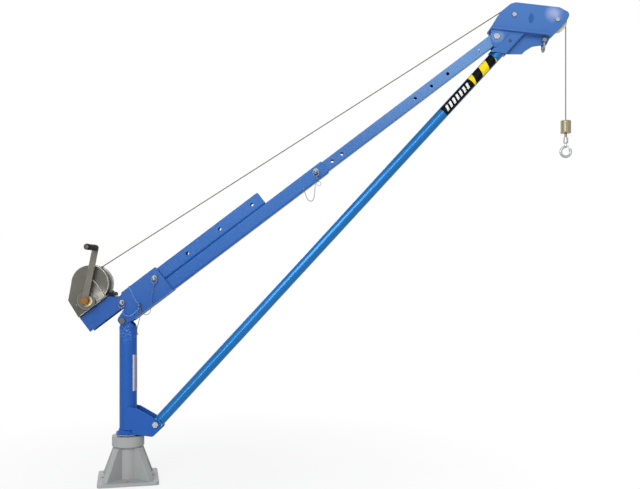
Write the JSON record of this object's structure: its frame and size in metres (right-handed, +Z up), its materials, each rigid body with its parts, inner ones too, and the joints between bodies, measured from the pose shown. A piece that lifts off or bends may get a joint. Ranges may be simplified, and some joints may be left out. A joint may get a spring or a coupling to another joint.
{
  "type": "davit crane",
  "caption": "Davit crane: a swivelling mast on a cast pedestal, a telescopic boom held up by a long strut, a hand winch with wire rope, a sheave head and a swivel hook.",
  "frame": {"origin": "centre of the base plate's underside, on the mast's swivel axis", "axes": "+X along the boom's reach, +Z up along the mast, camera side of the picture is -Y"},
  "size_m": [2.2168, 0.3825, 2.1065],
  "materials": {
    "boom_blue": "satin enamel",
    "mast_blue": "satin enamel",
    "channel_blue": "satin enamel",
    "strut_blue": "gloss enamel",
    "head_blue": "satin enamel",
    "casting_grey": "painted casting",
    "bronze": "machined",
    "machined_steel": "machined",
    "zinc": "bright zinc plate",
    "yellow_zinc": "yellow zinc plate",
    "winch_grey": "satin enamel",
    "rope_steel": "greased wire rope",
    "lanyard_steel": "thin wire",
    "grip_black": "matt",
    "cap_orange": "gloss",
    "weight_olive": "passivated",
    "ferrule_copper": "pressed copper"
  },
  "bodies": {
    "pedestal": {"pedestal_casting": "casting_grey", "lower_bush": "bronze", "upper_bush": "bronze", "thrust_washer": "bronze"},
    "mast": {"swivel_spigot": "mast_blue", "mast_tube": "mast_blue", "foot_bracket": "mast_blue", "mast_head": "mast_blue", "strut_foot_bolt": "zinc", "boom_pivot_bolt": "zinc"},
    "boom": {"outer_tube": "boom_blue", "winch_rail": "boom_blue", "winch_channel": "channel_blue", "saddle_plate_near": "boom_blue", "saddle_plate_far": "boom_blue", "lanyard_eye": "zinc", "lanyard_rear": "lanyard_steel", "lanyard_front": "lanyard_steel", "lanyard_extension": "lanyard_steel", "winch_frame": "winch_grey", "winch_cover": "winch_grey", "drum_axle": "zinc", "ratchet_wheel": "machined_steel", "winch_bolts": "zinc", "rope_run": "rope_steel"},
    "rear_pin": {"lock_pin_rear": "zinc"},
    "front_pin": {"lock_pin_front": "zinc"},
    "slide_pin": {"extension_pin": "zinc"},
    "inner_boom": {"inner_tube": "boom_blue"},
    "strut_head": {"strut_tube": "strut_blue", "strut_foot": "strut_blue", "head_plate_near": "head_blue", "head_plate_far": "head_blue", "head_base": "head_blue", "strut_socket": "head_blue", "anchor_plate": "head_blue", "sheave_axles": "zinc", "sheave_spacers": "zinc", "head_pin": "zinc", "rope_over_head": "rope_steel"},
    "sheave_rear": {"rear_sheave": "yellow_zinc"},
    "sheave_front": {"front_sheave": "yellow_zinc"},
    "rope_fall": {"rope_drop": "rope_steel"},
    "hook_block": {"overhaul_weight": "weight_olive", "rope_ferrule": "ferrule_copper", "hook_swivel": "machined_steel"},
    "hook": {"load_hook": "machined_steel"},
    "latch": {"hook_latch": "zinc"},
    "shackle": {"shackle_bow": "zinc", "shackle_pin": "zinc"},
    "drum": {"winch_drum": "zinc", "drum_gear": "machined_steel", "rope_winding": "rope_steel"},
    "crank": {"crank_shaft": "machined_steel", "crank_arm": "zinc", "brake_discs": "machined_steel", "crank_cap": "cap_orange"},
    "crank_grip": {"grip": "grip_black"},
    "winch_pawl": {"pawl": "zinc"}
  },
  "joints": [
    {"name": "mast_swivel", "type": "hinge", "parent": "pedestal", "child": "mast", "pos_m": [0, 0, 0.1], "axis": [0, 0, 1], "continuous": true},
    {"name": "boom_luff", "type": "hinge", "parent": "mast", "child": "boom", "pos_m": [-0.015, 0, 0.706], "axis": [0, -1, 0], "range_deg": [0, 13.32], "deforming": ["rope_run"]},
    {"name": "boom_extend", "type": "slide", "parent": "boom", "child": "inner_boom", "axis": [0.7976, 0, 0.6032], "range_m": [-0.0902, 0], "deforming": ["rope_run"]},
    {"name": "strut_fold", "type": "hinge", "parent": "inner_boom", "child": "strut_head", "pos_m": [1.627, 0, 1.955], "axis": [0, -1, 0], "range_deg": [-1.27, 0], "deforming": ["rope_run"]},
    {"name": "rope_plumb", "type": "hinge", "parent": "strut_head", "child": "rope_fall", "pos_m": [1.89523, 0, 2.03012], "axis": [0, -1, 0], "range_deg": [-12.1, 0]},
    {"name": "drum_spin", "type": "hinge", "parent": "boom", "child": "drum", "pos_m": [-0.153, 0, 0.86957], "axis": [0, -1, 0], "range_deg": [-1620, 360], "deforming": ["rope_drop", "rope_run"]},
    {"name": "crank_spin", "type": "hinge", "parent": "boom", "child": "crank", "pos_m": [-0.16576, 0, 0.79566], "axis": [0, -1, 0], "range_deg": [-1440.5, 6480.5], "deforming": ["rope_drop", "rope_run"]},
    {"name": "hook_hoist", "type": "slide", "parent": "rope_fall", "child": "hook_block", "axis": [0, 0, 1], "range_m": [-1.2955, 0.2885], "deforming": ["rope_drop", "rope_run"]},
    {"name": "rear_sheave_spin", "type": "hinge", "parent": "strut_head", "child": "sheave_rear", "pos_m": [1.70496, 0, 2.0518], "axis": [0, -1, 0], "range_deg": [-1620, 360], "deforming": ["rope_drop", "rope_run"]},
    {"name": "front_sheave_spin", "type": "hinge", "parent": "strut_head", "child": "sheave_front", "pos_m": [1.89523, 0, 2.03012], "axis": [0, -1, 0], "range_deg": [-1620, 360], "deforming": ["rope_drop", "rope_run"]},
    {"name": "grip_spin", "type": "hinge", "parent": "crank", "child": "crank_grip", "pos_m": [-0.11951, -0.15, 1.02504], "axis": [0, -1, 0], "continuous": true},
    {"name": "pawl_lift", "type": "hinge", "parent": "boom", "child": "winch_pawl", "pos_m": [-0.1223, 0, 0.81071], "axis": [0, 1, 0], "range_deg": [0, 25], "stiffness_Nm_per_rad": 0.05, "springref_deg": -17.19},
    {"name": "hook_turn", "type": "hinge", "parent": "hook_block", "child": "hook", "pos_m": [1.94123, 0, 1.504], "axis": [0, 0, 1], "continuous": true},
    {"name": "latch_open", "type": "hinge", "parent": "hook", "child": "latch", "pos_m": [1.95173, 0, 1.478], "axis": [0, 1, 0], "range_deg": [0, 40], "stiffness_Nm_per_rad": 0.02, "springref_deg": -22.92},
    {"name": "shackle_swing", "type": "hinge", "parent": "strut_head", "child": "shackle", "pos_m": [1.8411, 0, 1.94369], "axis": [0, -1, 0], "range_deg": [-38, 70]},
    {"name": "rear_pin_pull", "type": "slide", "parent": "boom", "child": "rear_pin", "axis": [0, -1, 0], "range_m": [0, 0.1], "deforming": ["lanyard_rear"]},
    {"name": "front_pin_pull", "type": "slide", "parent": "boom", "child": "front_pin", "axis": [0, -1, 0], "range_m": [0, 0.1], "deforming": ["lanyard_front"]},
    {"name": "extension_pin_pull", "type": "slide", "parent": "boom", "child": "slide_pin", "axis": [0, -1, 0], "range_m": [-0.066, 0.02], "deforming": ["lanyard_extension"]}
  ],
  "couplings": [
    {"joint": "boom_extend", "follows": "boom_luff", "m_per_rad": -0.38713},
    {"joint": "strut_fold", "follows": "boom_luff", "ratio": -0.094567},
    {"joint": "rope_plumb", "follows": "boom_luff", "ratio": -0.90543},
    {"joint": "crank_spin", "follows": "drum_spin", "ratio": -4},
    {"joint": "hook_hoist", "follows": "drum_spin", "m_per_rad": 0.0458},
    {"joint": "rear_sheave_spin", "follows": "drum_spin", "ratio": 0.99565},
    {"joint": "front_sheave_spin", "follows": "drum_spin", "ratio": 0.99565}
  ]
}
